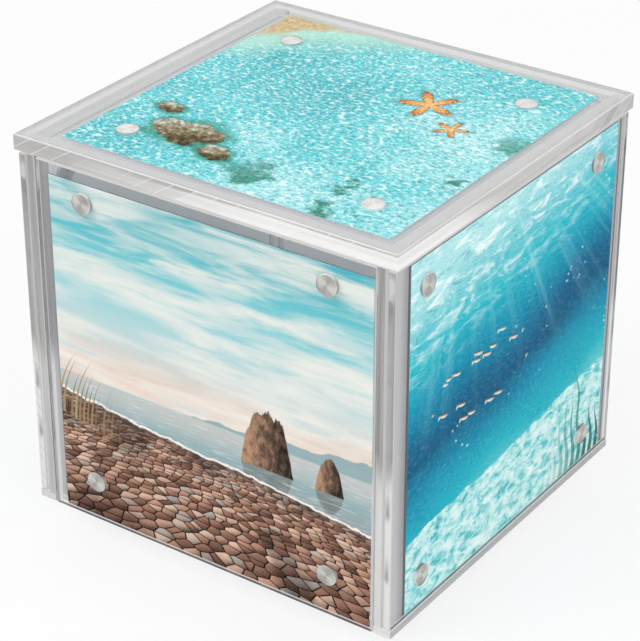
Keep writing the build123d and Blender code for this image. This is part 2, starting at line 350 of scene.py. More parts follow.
def frosting(place, facing, model, rim, onFace, foot, cut):  # frosted areas and painted shadow lines, colours and shares of milk
    if rim == "lid":
        look = rimLooks["lid"]
        margin = larger(*(soft(absolute(coordinate(place, axis)), *look[axis]) for axis in "xy"))
        return [(times(onFace, margin), look["colour"], look["share"])]
    if model is None:
        return []
    inward = 0.0003 if rim else -0.0003
    lying = times(onFace, soft(sheetDepth(place, facing, model), -inward, inward))  # the face by the print
    if rim is None:  # a cover is frosted by the saw along its upright ends
        look = rimLooks["cover"]
        axis = 1 - facing.index(1)
        end = minus(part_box(model)[1][axis], absolute(coordinate(place, "xyz"[axis])))
        # paler towards the foot: painted light from the floor
        colour = mix(times(foot, look["foot"]), cut["brink"], cut["foot"])
        return [(times(lying, soft(end, *look["reach"])), colour, look["share"])]
    look = rimLooks[rim]
    past, line = printRim(place, rim)
    greys = mix(soft(past, 0.0004, 0.0040), look["near"], look["colour"])
    # paler towards the foot: painted light from the floor
    greys = mix(times(foot, look["foot"]), greys, cut["foot"])
    strip = times(lying, soft(past, -0.0001, 0.0001))
    return [(strip, greys, look["share"]), (times(lying, line), look["line"], rimLooks["shadowLineShare"])]


def sawMarksAndLight(place, facing, model, cut, colour, foot):
    look = sawAndLightLook
    z, side = coordinate(place, "z"), sheetDepth(place, facing, model)
    # saw lines at a slant, in patches, on the left half
    uneven = scaled(noise(place, 60.0, 2, 0.5), look["sawWave"], scaled(side, look["sawLean"], z))
    lines = soft(sine(times(uneven, look["sawPace"])), 0.80, 0.99)
    lines = times(lines, soft(noise(place, 90.0, 2, 0.4), 0.48, 0.60))
    lines = times(lines, soft(coordinate(place, "x"), 0.01, -0.01))
    colour = mix(times(lines, foot, look["sawShare"]), colour, cut["sawAndShade"])
    # darker lens-shaped patches, painted reflections in the edge, sharper below and fading upwards
    steps = scaled(noise(place, 22.0, 1, 0.3), look["lensWave"], divided(z, look["lensStep"]))
    climb = fraction(steps)
    slim = soft(absolute(plus(side, 0.0002)), 0.0009, 0.0001)
    lens = times(soft(climb, 0.0, 0.16), soft(climb, 0.60, 0.14))
    lens = times(lens, slim, soft(draw(wholePart(steps)), 0.10, 0.70))
    share = scaled(foot, look["lensAtFloorLight"], look["lensShare"])
    colour = mix(times(lens, share), colour, cut["sawAndShade"])
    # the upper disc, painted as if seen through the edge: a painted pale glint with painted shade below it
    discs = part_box(model + "_magnets")[1].z - magnetLook["radius"]
    cloud = scaled(noise(place, 260.0, 3, 0.6), look["blotWave"], minus(z, discs + look["blotRise"]))
    blot = times(soft(absolute(cloud), 0.0034, 0.0010), soft(absolute(side), 0.0011, 0.0004))
    colour = mix(times(blot, look["blotShare"]), colour, cut["glint"])
    below = soft(absolute(plus(cloud, look["shadeDrop"])), 0.0020, 0.0005)
    return mix(times(below, slim, look["shadeShare"]), colour, cut["sawAndShade"])


def lidEdge(place, aside, cut, colour):  # slanting saw marks with thin painted highlights between them, and a painted white highlight low down towards the front corner
    look = lidLook
    phase = times(dot(place, look["sawLean"]), look["sawPace"])
    reach = soft(coordinate(place, "y"), 0.012, 0.030)
    patch = soft(noise(place, 34.0, 2, 0.4), 0.30, 0.48)
    patch = times(patch, larger(reach, minus(1.0, aside)))
    colour = mix(times(draw(wholePart(phase)), patch, look["tileShare"]), colour, cut["tile"])
    # thin painted highlights between the tiles
    between = absolute(minus(fraction(phase), 0.5))
    colour = mix(times(soft(between, 0.44, 0.49), patch), colour, cut["bevelHighlight"])
    # a painted white highlight, low down towards the front corner
    near = soft(dot(place, look["frontCorner"]), 0.030, 0.058)
    below = minus(scaled(near, look["brimClimb"], look["brim"]), coordinate(place, "z"))
    white = times(near, soft(below, -0.0002, 0.0003))
    return mix(times(white, look["cornerHighlightShare"]), colour, acrylicLook["white"])


def clearBody(rough, relief, thick):  # it bends light, and mirrors it more and more at a slant
    look = acrylicLook
    bend = put("ShaderNodeBsdfRefraction", {
        "Color": look["tint"], "Roughness": rough, "IOR": look["ior"], "Normal": relief})
    if thick:
        shine = put("ShaderNodeBsdfGlossy", {"Color": "#ffffff", "Roughness": rough, "Normal": relief})
    else:  # a mirror that the export of a thin pane shows by alpha
        shine = put("ShaderNodeBsdfPrincipled", {
            "Base Color": "#ffffff", "Metallic": 1.0, "Roughness": rough, "Normal": relief})
    slant = put("ShaderNodeFresnel", {"IOR": look["ior"], "Normal": relief}).outputs[0]
    inside = times(soft(slant, 0.25, 0.90), 1 - look["mirror"])
    return mixShader(scaled(slant, look["mirror"], inside), bend, shine)


def makeAcrylic(name, facing, edge, model=None, rim=None, haze=0.0):
    look, cut = acrylicLook, edgeLooks[edge]
    material, tree, milk = newMaterial(name)
    around = coords(tree)
    place, normal = around["Object"], around["Normal"]
    level = absolute(dot(normal, facing))
    onFace = soft(level, 0.75, 0.97)
    onEdge = minus(1.0, onFace)
    onBevel = times(soft(level, 0.30, 0.60), onEdge)
    wear = placeGroup(scratches, {"Place": place, "Scale": 260.0})
    saw = noise(place, 700.0, 3, 0.6)
    faceRough = scaled(wear["Smear"], look["smearRough"], look["faceRough"])
    edgeRough = scaled(soft(saw, 0.45, 0.75), look["streakRough"], look["edgeRough"])
    rough = plus(times(faceRough, onFace), times(edgeRough, onEdge))
    relief = bump(plus(times(wear["Marks"], 0.15), times(saw, onEdge)), 0.10, 0.00004)
    body = clearBody(rough, relief, rim == "lid")
    # milky edges, with painted light from the floor at the foot and painted highlights on the bevels
    streak = noise(moved(place, scale=[max(0.03, part) for part in facing]), 800.0, 2, 0.45)
    colour = ramp(streak, [(0.32, cut["dark"]), (0.64, cut["pale"])])
    foot = soft(scaled(streak, 0.012, coordinate(place, "z")), *look["foot"])
    aside = soft(absolute(coordinate(normal, "x")), 0.4, 0.8)
    # painted floor light at the foot: full on the covers, weaker on the walls, and weaker on the walls' left
    # side than on their right
    footShare = scaled(soft(coordinate(place, "x"), -0.01, 0.01), 0.32, 0.38) if haze else 0.9
    colour = mix(times(foot, footShare), colour, mix(aside, cut["foot"], cut["footSide"]))
    if model and not haze:
        colour = sawMarksAndLight(place, facing, model, cut, colour, foot)
    # edges that face up or down: painted light on the upper ends, painted shade on the lower ends
    ending = soft(absolute(coordinate(normal, "z")), 0.5, 0.9)
    endColour = mix(soft(coordinate(place, "z"), 0.04, 0.06), cut["under"], cut["top"])
    colour = mix(ending, colour, endColour)
    milky = times(onEdge, scaled(soft(streak, 0.32, 0.64), cut["streak"], cut["milk"]))
    # bevels are given over to a painted highlight
    milky = larger(milky, times(onBevel, look["bevelHighlightShare"]))
    if rim == "lid":
        colour = lidEdge(place, aside, cut, colour)
    # the painted highlight's colour on the bevels, in another tone at the foot
    colour = mix(onBevel, colour, mix(foot, cut["bevelHighlight"], cut["footBevel"]))
    if haze:
        colour = mix(onFace, colour, look["haze"])
        cloud = scaled(noise(place, 130.0, 2, 0.5), 0.12, haze - 0.06)
        milky = larger(milky, times(onFace, cloud))
    for area, frost, share in frosting(place, facing, model, rim, onFace, foot, cut):
        colour = mix(area, colour, frost)
        milky = larger(milky, times(area, share))
    feedAll(milk, {
        "Base Color": colour, "Roughness": look["milkRough"],
        "Specular IOR Level": look["milkShine"], "Normal": relief})
    # lamp light and soft bounce light pass straight through, so that the prints behind are lit
    ray = put("ShaderNodeLightPath", tree=tree).outputs
    clear = put("ShaderNodeBsdfTransparent", tree=tree)
    bounced = mixShader(ray["Is Diffuse Ray"], mixShader(milky, body, milk), clear)
    lit = mixShader(ray["Is Shadow Ray"], bounced, clear)
    feed(tree.nodes["Material Output"].inputs["Surface"], lit.outputs[0])
    return material


coverAcross = makeAcrylic("coverAcross", (1, 0, 0), "upright", "right_cover")
coverAlong = makeAcrylic("coverAlong", (0, 1, 0), "upright", "front_cover")
wallAcross = makeAcrylic("wallAcross", (1, 0, 0), "upright", "right_wall", "across", haze=0.11)
wallAlong = makeAcrylic("wallAlong", (0, 1, 0), "upright", "front_wall", "along", haze=0.11)
lidClear = makeAcrylic("lidClear", (0, 0, 1), "flat", rim="lid")
plateHazed = makeAcrylic("plateHazed", (0, 0, 1), "flat", haze=0.5)
print("acrylic ready")


# metals, rubber and plastic

nickelLook = {
    "dark": "#b3ada8", "pale": "#d9d3cd", "rough": 0.34, "spread": 0.14, "grain": 1500.0, "fan": 0.45}
metalLooks = {
    "acrossNickel": nickelLook | {"model": "right_cover_magnets"},
    "alongNickel": nickelLook | {"model": "front_cover_magnets"},
    # the lid's discs face up and are painted paler: painted light
    "lidNickel": nickelLook | {"dark": "#e6dfdb", "pale": "#f9f3f1", "rough": 0.42, "fan": 0.16,
                               "model": "lid_magnets"},
    "bearingSteel": {"dark": "#c6c8ca", "pale": "#dcdee0", "rough": 0.08, "spread": 0.08, "grain": 900.0},
    "zincSteel": {"dark": "#a4a8ac", "pale": "#c8c9c6", "rough": 0.28, "spread": 0.22, "grain": 1100.0},
}
# painted highlight on the rims, and painted fans of light and shade on the faces
discLook = {"rim": "#f3f0ee", "shade": "#9d9792", "light": "#f4f1ee", "turn": 0.9}


def thinAxis(size):
    return min(range(3), key=lambda i: size[i])


def turnedFace(place, normal, model):  # a disc's rim, for a painted highlight, and two fans of painted light and shade across its turned face
    low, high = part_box(model)
    size, middle = high - low, (low + high) / 2
    thin = thinAxis(size)
    offsets = []
    for i in range(3):
        if i != thin:
            part = minus(coordinate(place, "xyz"[i]), middle[i])
            half = size[i] / 2 - magnetLook["radius"]
            offsets.append(minus(part, times(sign(part), half)))
    fan = cosine(scaled(angleOf(offsets[1], offsets[0]), 2.0, discLook["turn"]))
    face = absolute(coordinate(normal, "xyz"[thin]))
    return soft(face, 0.97, 0.75), fan


def makeMetal(name):
    look = metalLooks[name]
    material, tree, shader = newMaterial(name)
    around = coords(tree)
    place = around["Object"]
    grain = noise(place, look["grain"], 4, 0.6)
    cloud = noise(place, look["grain"] / 5, 3, 0.5)
    marks = placeGroup(scratches, {"Place": place, "Scale": 700.0})["Marks"]
    shade = scaled(grain, 0.5, times(cloud, 0.5))
    colour = ramp(shade, [(0.35, look["dark"]), (0.65, look["pale"])])
    metallic = 1.0
    if "model" in look:
        # painted fans of light and shade on the face, and a pale painted highlight on the rim, which is made
        # less metallic
        rim, fan = turnedFace(place, around["Normal"], look["model"])
        colour = mix(times(soft(fan, 0.1, 1.0), look["fan"]), colour, discLook["light"])
        colour = mix(times(soft(fan, -0.1, -1.0), look["fan"]), colour, discLook["shade"])
        colour = mix(rim, colour, discLook["rim"])
        metallic = scaled(rim, -0.95, 1.0)
    rough = scaled(shade, look["spread"], look["rough"] - look["spread"] / 2)
    feedAll(shader, {
        "Base Color": colour, "Metallic": metallic, "Roughness": scaled(marks, 0.08, rough),
        "Normal": bump(plus(grain, marks), 0.12, 0.00003)})
    return material


plasticLooks = {
    "footRubber": {"dark": "#b9bcbc", "pale": "#d4d6d5", "rough": 0.55, "grain": 1800.0, "bump": 0.35},
    "cagePlastic": {"dark": "#e2e0d8", "pale": "#efeee8", "rough": 0.42, "grain": 2600.0, "bump": 0.15},
}


def makePlastic(name):
    look = plasticLooks[name]
    material, tree, shader = newMaterial(name)
    place = coords(tree)["Object"]
    grain = noise(place, look["grain"], 3, 0.6)
    cloud = noise(place, look["grain"] / 12, 3, 0.5)
    shade = scaled(grain, 0.35, times(cloud, 0.65))
    feedAll(shader, {"Base Color": ramp(shade, [(0.35, look["dark"]), (0.65, look["pale"])]),
                     "Roughness": scaled(shade, 0.25, look["rough"] - 0.12),
                     "Normal": bump(grain, look["bump"], 0.00005)})
    return material


acrossNickel, alongNickel, lidNickel, bearingSteel, zincSteel = map(makeMetal, metalLooks)
footRubber, cagePlastic = map(makePlastic, plasticLooks)
print("metals, rubber and plastic ready")


# pictures for the prints: u runs to the right and v up, both from 0 to 1

def shorePicture(u, v, uv):
    horizon = 0.43
    sky = ramp(soft(v, horizon, 1.02), [
        (0.0, "#e9cdbd"), (0.16, "#c6d7d7"), (0.42, "#9fd3d8"), (0.75, "#72c6cf"), (1.0, "#4fb3c0")])
    cloud = placeGroup(cloudBands, {"Place": uv, "Low": 0.47, "High": 0.70})
    cream = mix(cloud["Grey"], "#f6efe6", "#c9dadb")
    sky = mix(times(cloud["Cover"], 0.85), sky, cream)
    land = placeGroup(ridgeLine, {
        "Across": u, "Up": v, "Level": scaled(u, 0.10, horizon - 0.045),
        "Relief": 0.06, "Peaks": 5.0, "Seed": 4.2})
    sky = mix(times(land["Land"], 0.85), sky, "#7fa3aa")
    glint = noise(moved(uv, scale=(14, 160, 1)), 1.0, 3, 0.6)
    sea = ramp(soft(v, 0.26, horizon), [(0.0, "#98a3a4"), (0.5, "#93aeb2"), (1.0, "#c0c4c2")])
    sea = mix(times(soft(glint, 0.5, 0.72), 0.5), sea, "#eee8e2")
    view = mix(soft(v, horizon - 0.002, horizon + 0.002), sea, sky)
    # rocks that stand in the water, with their reflections
    for across, width, tall in ((0.68, 0.085, 0.17), (0.87, 0.045, 0.10)):
        side = absolute(divided(minus(u, across), width))
        crag = times(minus(noise(moved(uv, scale=(1, 0.05, 1)), 26.0, 5, 0.6), 0.5), 0.8)
        rise = times(plus(minus(1.0, power(side, 3.0)), crag), tall)
        over = minus(v, 0.355)
        stone = times(soft(minus(rise, over), 0.0, 0.006), soft(over, -0.002, 0.002))
        grain = noise(moved(uv, scale=(1, 0.6, 1), turn=20), 60.0, 5, 0.65)
        lit = scaled(minus(u, across), -0.3 / width, grain)
        view = mix(stone, view, ramp(lit, [(0.25, "#2b2420"), (0.5, "#6b5446"), (0.75, "#b98f73")]))
        under = times(over, -1.6)
        mirrored = times(soft(minus(rise, under), 0.0, 0.02), soft(over, 0.002, -0.002))
        view = mix(times(mirrored, scaled(glint, -0.9, 0.95)), view, "#5f5650")
    # pebbles in the foreground, smaller further off
    edge = placeGroup(ridgeLine, {
        "Across": u, "Up": v, "Level": scaled(u, -0.09, 0.37), "Relief": 0.06, "Peaks": 1.6, "Seed": 9.7})
    far = divided(1.0, minus(0.62, v))
    ground = point(times(minus(u, 0.5), far), times(far, 1.1))
    stones = cells(ground, 12.0, 0.9)
    seam = cells(ground, 12.0, 0.9, "DISTANCE_TO_EDGE")["Distance"]
    away = apart(ground, stones["Position"])
    grit = noise(uv, 150.0, 4, 0.7)
    lit = plus(scaled(dot(away, (-0.6, 0.8, 0)), 6.0, 0.42), times(minus(grit, 0.5), 0.5))
    warm = ramp(redOf(stones["Color"]), [
        (0.0, "#7d5a4b"), (0.3, "#a67866"), (0.55, "#c4967f"), (0.8, "#e3bea7"), (1.0, "#a39e9a")])
    warm = mix(soft(lit, 0.62, -0.05), warm, "#3f2d26")
    warm = mix(times(soft(lit, 0.55, 1.0), 0.5), warm, "#f3d9c6")
    warm = mix(soft(seam, 0.09, 0.02), warm, "#18110f")
    shadow = soft(noise(moved(ground, scale=(1.0, 0.45, 1), turn=24), 1.6, 3, 0.5), 0.50, 0.58)
    shore = mix(times(shadow, 0.85), warm, mix(0.6, warm, "#2a2728", "MULTIPLY"))
    wet = soft(edge["Depth"], 0.05, 0.0)
    shore = mix(times(wet, 0.55), shore, "#4a403c")
    view = mix(edge["Land"], view, shore)
    foam = plus(edge["Depth"], times(minus(noise(uv, 40.0, 4, 0.6), 0.5), 0.02))
    view = mix(soft(absolute(foam), 0.006, 0.001), view, "#f6f2ec")
    tuft = placeGroup(bladeRow, {
        "Across": u, "Up": v, "Root": scaled(u, -0.20, 0.30), "Height": 0.24,
        "Count": 74.0, "Lean": 1.5, "Seed": 3.0})
    corner = times(tuft["Blade"], soft(u, 0.24, 0.06))
    straw = mix(tuft["Tone"], "#4c4436", "#b99a72")
    return mix(corner, view, straw)


def reefPicture(u, v, uv):
    tilt = scaled(minus(u, 0.5), -0.16, v)
    swell = scaled(minus(noise(moved(uv, scale=(2, 4, 1)), 1.4, 4), 0.5), 0.16, tilt)
    water = ramp(swell, [
        (0.0, "#c4eeec"), (0.14, "#7ddadd"), (0.28, "#1cb2c4"), (0.40, "#0a8eb0"), (0.49, "#00587e"),
        (0.56, "#00648e"), (0.66, "#0292b2"), (0.79, "#1fbccb"), (1.0, "#b4eaec")])
    drift = noise(moved(uv, scale=(1, 2.4, 1), turn=14), 62.0, 5, 0.68)
    water = mix(times(soft(drift, 0.52, 0.70), 0.20), water, "#bff2f4")
    water = mix(times(soft(drift, 0.48, 0.34), 0.35), water, "#00506e")
    fan = divided(minus(u, 0.22), minus(1.5, v))
    beams = noise(point(times(fan, 17.0), times(v, 0.5)), 1.0, 4, 0.6)
    beamShare = times(soft(beams, 0.48, 0.78), soft(v, 0.38, 0.95))
    water = mix(times(beamShare, 0.55), water, "#b6f2f2")
    # the lit sea bed
    floorLine = placeGroup(ridgeLine, {
        "Across": u, "Up": v, "Level": scaled(u, 0.10, 0.20), "Relief": 0.10, "Peaks": 2.2, "Seed": 1.3})
    far = divided(0.3, minus(0.62, v))
    bed = point(times(minus(u, 0.5), times(far, 4.6)), times(far, 5.5))
    net = placeGroup(causticNet, {"Place": bed, "Scale": 4.2, "Wander": (0.22, 0.22, 0)})
    mottle = noise(moved(uv, scale=(1, 1.7, 1), turn=12), 21.0, 7, 0.72, 0.5)
    sand = ramp(mottle, [(0.33, "#0d8f9f"), (0.43, "#63cbd0"), (0.52, "#c4eeec"), (0.64, "#f3fffc")])
    sand = mix(times(net["Net"], 0.6), sand, "#f8fffd")
    water = mix(times(floorLine["Land"], 0.92), water, sand)
    # broken light under the surface
    skin = noise(moved(uv, scale=(5, 17, 1), turn=7), 2.0, 6, 0.68, 0.8)
    skinShare = times(soft(skin, 0.48, 0.66), soft(tilt, 0.66, 0.95))
    water = mix(skinShare, water, "#f2ffff")
    deep = times(soft(skin, 0.42, 0.30), soft(tilt, 0.60, 0.9))
    water = mix(times(deep, 0.7), water, "#2596aa")
    weed = placeGroup(bladeRow, {
        "Across": u, "Up": v, "Root": 0.0, "Height": 0.42, "Count": 30.0,
        "Lean": -0.35, "Sway": 0.007, "Seed": 11.0})
    clump = times(weed["Blade"], soft(u, 0.66, 0.92))
    water = mix(times(clump, 0.9), water, mix(weed["Tone"], "#0d4a52", "#2f8f7a"))
    # a shoal of small fish, one to a cell
    shoal = cells(uv, 15.0)
    local = moved(apart(uv, shoal["Position"]), scale=(15, 15, 1), turn=14)
    ahead, above = put("ShaderNodeSeparateXYZ", {0: local}).outputs[:2]
    belly = plus(power(divided(ahead, 0.27), 2.0), power(divided(above, 0.095), 2.0))
    back = minus(times(ahead, -1.0), 0.19)
    tail = times(soft(minus(back, absolute(above)), -0.01, 0.02), soft(back, 0.19, 0.16))
    fish = larger(soft(belly, 1.1, 0.8), tail)
    group = plus(power(divided(minus(u, 0.34), 0.24), 2.0), power(divided(minus(v, 0.52), 0.13), 2.0))
    fish = times(fish, soft(group, 1.0, 0.9), soft(redOf(shoal["Color"]), 0.28, 0.30))
    scales = ramp(scaled(above, 5.0, 0.5), [(0.25, "#dff3ee"), (0.55, "#e0a070"), (0.8, "#1f4c5c")])
    water = mix(times(fish, 0.9), water, scales)
    drops = cells(moved(uv, scale=(1, 1, 0)), 46.0, space="3D")["Distance"]
    trail = soft(noise(moved(uv, scale=(5, 2.2, 1)), 1.7, 3), 0.54, 0.68)
    bubble = times(soft(drops, 0.20, 0.12), trail)
    return mix(times(bubble, 0.8), water, "#ecffff")


def shallowsPicture(u, v, uv):
    broad = noise(uv, 2.6, 4, 0.55)
    depth = plus(broad, dot(uv, (0.22, -0.14, 0)))
    water = ramp(depth, [(0.34, "#12b0bb"), (0.54, "#4bccd4"), (0.74, "#a4e6ea")])
    ripple = noise(moved(uv, scale=(1, 1.9, 1), turn=-18), 56.0, 4, 0.65, 0.5)
    water = mix(times(soft(ripple, 0.54, 0.36), 0.75), water, "#0a8592")
    for scale, share in ((40.0, 0.75), (82.0, 0.65)):
        net = placeGroup(causticNet, {
            "Place": moved(uv, scale=(1.0, 1.5, 1), turn=-14), "Scale": scale, "Wander": (0.07, 0.07, 0)})
        water = mix(times(net["Net"], share), water, "#effffb")
    spark = cells(uv, 70.0)
    glitter = times(soft(spark["Distance"], 0.30, 0.12), soft(redOf(spark["Color"]), 0.86, 0.90))
    water = mix(times(glitter, soft(broad, 0.40, 0.55)), water, "#ffffff")
    # a sand bar at one corner
    wobble = times(minus(noise(uv, 4.2, 6, 0.6), 0.5), 0.26)
    bar = plus(times(u, -0.62), times(v, 0.78), wobble)
    water = mix(times(soft(bar, 0.46, 0.62), 0.75), water, "#bfe9d6")
    sand = ramp(noise(uv, 60.0, 5, 0.7), [(0.3, "#a98c62"), (0.5, "#cdb48a"), (0.7, "#e6d6b3")])
    water = mix(soft(bar, 0.62, 0.68), water, sand)
    # sunken rocks
    for across, up, wide in ((0.25, 0.20, 0.10), (0.38, 0.14, 0.055), (0.12, 0.30, 0.045)):
        du, dv = minus(u, across), times(minus(v, up), 1.4)
        reach = distance(du, dv)
        crag = times(minus(noise(uv, 16.0, 5, 0.6), 0.5), wide * 1.6)
        inside = divided(plus(reach, crag), wide)
        water = mix(times(soft(inside, 1.45, 0.95), 0.8), water, "#2f8f7a")
        lit = divided(minus(dv, times(du, 0.5)), wide)
        grain = scaled(lit, 0.13, noise(uv, 46.0, 6, 0.75))
        rock = ramp(grain, [(0.34, "#2b2418"), (0.46, "#6d5c3d"), (0.58, "#a0967f"), (0.70, "#dcd9d2")])
        water = mix(soft(inside, 1.0, 0.86), water, rock)
    weedPatch = noise(moved(uv, shift=(1.7, 4.1, 0)), 4.6, 6, 0.68)
    weedSide = times(soft(weedPatch, 0.55, 0.62), soft(minus(u, v), 0.12, 0.5))
    weed = ramp(noise(uv, 90.0, 4, 0.7), [(0.35, "#0e4a44"), (0.6, "#2f8f74"), (0.8, "#7fc39a")])
    water = mix(times(weedSide, 0.85), water, weed)
    # five-armed stars on the sea bed
    for across, up, size, turn in ((0.66, 0.70, 0.085, 0.3), (0.79, 0.60, 0.050, 1.0)):
        du, dv = minus(u, across), minus(v, up)
        reach = distance(du, dv)
        angle = plus(angleOf(dv, du), turn)
        arm = power(absolute(cosine(times(angle, 2.5))), 2.2)
        rim = times(scaled(arm, 0.72, 0.28), size)
        inside = divided(reach, rim)
        cast = soft(divided(reach, times(rim, 1.2)), 1.15, 0.8)
        water = mix(times(cast, 0.45), water, "#0f7f86")
        dots = soft(noise(uv, 120.0, 2, 0.5), 0.52, 0.66)
        skin = ramp(inside, [(0.0, "#f0c483"), (0.7, "#d58d4a"), (1.0, "#8f4f26")])
        water = mix(soft(inside, 1.03, 0.95), water, mix(dots, skin, "#f6ddb0"))
    return water


def hillsPicture(u, v, uv):
    sky = ramp(soft(v, 0.42, 1.0), [
        (0.0, "#f6dcc0"), (0.3, "#e6dccb"), (0.65, "#9fd0d0"), (1.0, "#4aaab6")])
    drift = moved(uv, shift=(2.3, 0.6, 0), turn=16)
    cloud = placeGroup(cloudBands, {"Place": drift, "Low": 0.56, "High": 0.80})
    view = mix(times(cloud["Cover"], 0.8), sky, mix(cloud["Grey"], "#fbeedd", "#d7c3b4"))
    water = soft(v, 0.302, 0.298)
    mirrored = plus(0.30, absolute(minus(v, 0.30)))
    ruffle = times(minus(noise(moved(uv, scale=(8, 90, 1)), 1.0, 3), 0.5), 0.03)
    up = scaled(water, ruffle, mirrored)
    lakeSky = ramp(soft(up, 0.30, 0.62), [(0.0, "#e9cdb4"), (0.5, "#a9c9c8"), (1.0, "#5fa9b2")])
    view = mix(water, view, lakeSky)
    for level, relief, peaks, seed, near, far in (
            (0.60, 0.26, 2.2, 1.0, "#a9c3c3", "#d9d3c6"), (0.50, 0.24, 2.9, 7.5, "#6f9ba0", "#b8c4bd"),
            (0.42, 0.18, 3.6, 3.8, "#3f7479", "#8fa9a2"), (0.35, 0.10, 5.0, 12.1, "#57483a", "#a37e60")):
        hill = placeGroup(ridgeLine, {
            "Across": u, "Up": up, "Level": level, "Relief": relief, "Peaks": peaks, "Seed": seed})
        mist = soft(hill["Depth"], 0.0, 0.16)
        trees = noise(moved(uv, scale=(1, 0.5, 1)), 150.0, 3, 0.7)
        slope = mix(mist, near, far)
        slope = mix(times(soft(trees, 0.5, 0.7), 0.35), slope, "#2f4a48")
        view = mix(times(hill["Land"], scaled(water, -0.25, 1.0)), view, slope)
    glint = noise(moved(uv, scale=(10, 130, 1)), 1.0, 3, 0.6)
    shine = times(soft(glint, 0.55, 0.75), water, 0.6)
    return mix(shine, view, "#f7eadb")


def tidePicture(u, v, uv):
    wander = noise(moved(uv, scale=(1, 2.6, 1)), 1.7, 5, 0.5)
    line = plus(scaled(v, 0.32, u), scaled(wander, 0.55, -0.28))
    sea = ramp(line, [(0.52, "#9fe3df"), (0.70, "#43c7cc"), (0.92, "#1397a8"), (1.0, "#0d7f95")])
    net = placeGroup(causticNet, {"Place": uv, "Scale": 9.0, "Wander": (0.14, 0.14, 0)})
    sea = mix(times(net["Net"], 0.5), sea, "#e8fffb")
    grit = noise(uv, 120.0, 4, 0.7)
    dry = ramp(grit, [(0.3, "#b38b66"), (0.5, "#d3ae88"), (0.72, "#ecd3b1")])
    wet = ramp(grit, [(0.3, "#7d6149"), (0.7, "#a88868")])
    sand = mix(soft(line, 0.34, 0.42), dry, wet)
    view = mix(soft(line, 0.50, 0.54), sand, sea)
    froth = noise(uv, 46.0, 5, 0.62, 0.4)
    ragged = scaled(noise(uv, 19.0, 4, 0.6), 0.06, minus(line, 0.03))
    for middle, width, thick in ((0.51, 0.040, 0.40), (0.67, 0.055, 0.46), (0.84, 0.045, 0.48)):
        behind = minus(ragged, middle)  # each wave is dense at its front and breaks up behind
        trail = times(soft(behind, -0.004, 0.001), soft(behind, width * 1.5, 0.0))
        gaps = soft(scaled(trail, 0.18, froth), thick + 0.08, thick + 0.20)
        rim = soft(absolute(minus(behind, 0.003)), 0.007, 0.001)
        foam = larger(times(soft(trail, 0.0, 0.35), gaps), times(rim, soft(froth, 0.34, 0.50)))
        view = mix(times(foam, 0.92), view, "#fbfffd")
    shells = cells(moved(uv, scale=(1, 1, 0)), 24.0, space="3D")["Distance"]
    beach = times(soft(shells, 0.16, 0.11), soft(line, 0.40, 0.32))
    return mix(beach, view, mix(grit, "#f5ead8", "#7a5a45"))


printLooks = {  # right, up and outward on each print, how dark the painted shade on its cut side is, and its picture
    "front_print": ((1, 0, 0), (0, 0, 1), (0, -1, 0), 1.0, shorePicture),
    "right_print": ((0, 1, 0), (0, 0, 1), (1, 0, 0), 1.0, reefPicture),
    "top_print": ((1, 0, 0), (0, 1, 0), (0, 0, 1), 0.45, shallowsPicture),
    "back_print": ((-1, 0, 0), (0, 0, 1), (0, 1, 0), 1.0, hillsPicture),
    "left_print": ((0, -1, 0), (0, 0, 1), (-1, 0, 0), 1.0, tidePicture),
}


def makePrint(name):
    right, up, out, cutShadeShare, paint = printLooks[name]
    low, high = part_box(name)
    middle, side = (low + high) / 2, max(high - low)
    material, tree, shader = newMaterial(name.replace("_print", "Picture"))
    around = coords(tree)
    local = apart(around["Object"], middle)
    u, v = (scaled(dot(local, direction), 1 / side, 0.5) for direction in (right, up))
    face = soft(dot(local, out), 0.00010, 0.00014)  # the outer face carries the picture
    sideways = soft(absolute(dot(around["Normal"], out)), 0.7, 0.3)
    paper = placeGroup(grainPaper, {
        "Place": around["Object"], "Picture": paint(u, v, point(u, v)), "Face": face,
        "Cut": times(sideways, cutShadeShare)})
    feedAll(shader, {
        "Base Color": paper["Colour"], "Roughness": paper["Roughness"],
        "Normal": bump(paper["Height"], 0.05, 0.00002), "Specular IOR Level": 0.02})
    return material


def dress(name, material):
    for slot in cadNodes[name].material_slots:
        slot.material = material


for name in printLooks:
    dress(name, makePrint(name))
sides = ("front", "back", "left", "right")
for side in sides:
    along = side in ("front", "back")
    dress(side + "_cover", coverAlong if along else coverAcross)
    dress(side + "_wall", wallAlong if along else wallAcross)
dress("lid", lidClear)
for name in ("top_panel", "bottom_panel", "base_disc", "swivel_disc"):
    dress(name, plateHazed)
for name in ("pivot_bolt", "pivot_washer", "pivot_nut", "swivel_screws"):
    dress(name, zincSteel)
dress("ball_cage", cagePlastic)
print("prints and sheets dressed")


# repeated pieces, made with geometry nodes

def newTree(name, inputs):
    tree = bpy.data.node_groups.new(name, "GeometryNodeTree")
    kinds = {"length": "NodeSocketFloat", "count": "NodeSocketInt", "place": "NodeSocketVector",
             "turn": "NodeSocketRotation", "material": "NodeSocketMaterial"}
    tree.interface.new_socket(name="Geometry", in_out="OUTPUT", socket_type="NodeSocketGeometry")
    for label, kind in inputs.items():
        tree.interface.new_socket(name=label, in_out="INPUT", socket_type=kinds[kind])
    return tree, tree.nodes.new("NodeGroupInput").outputs, tree.nodes.new("NodeGroupOutput").inputs[0]


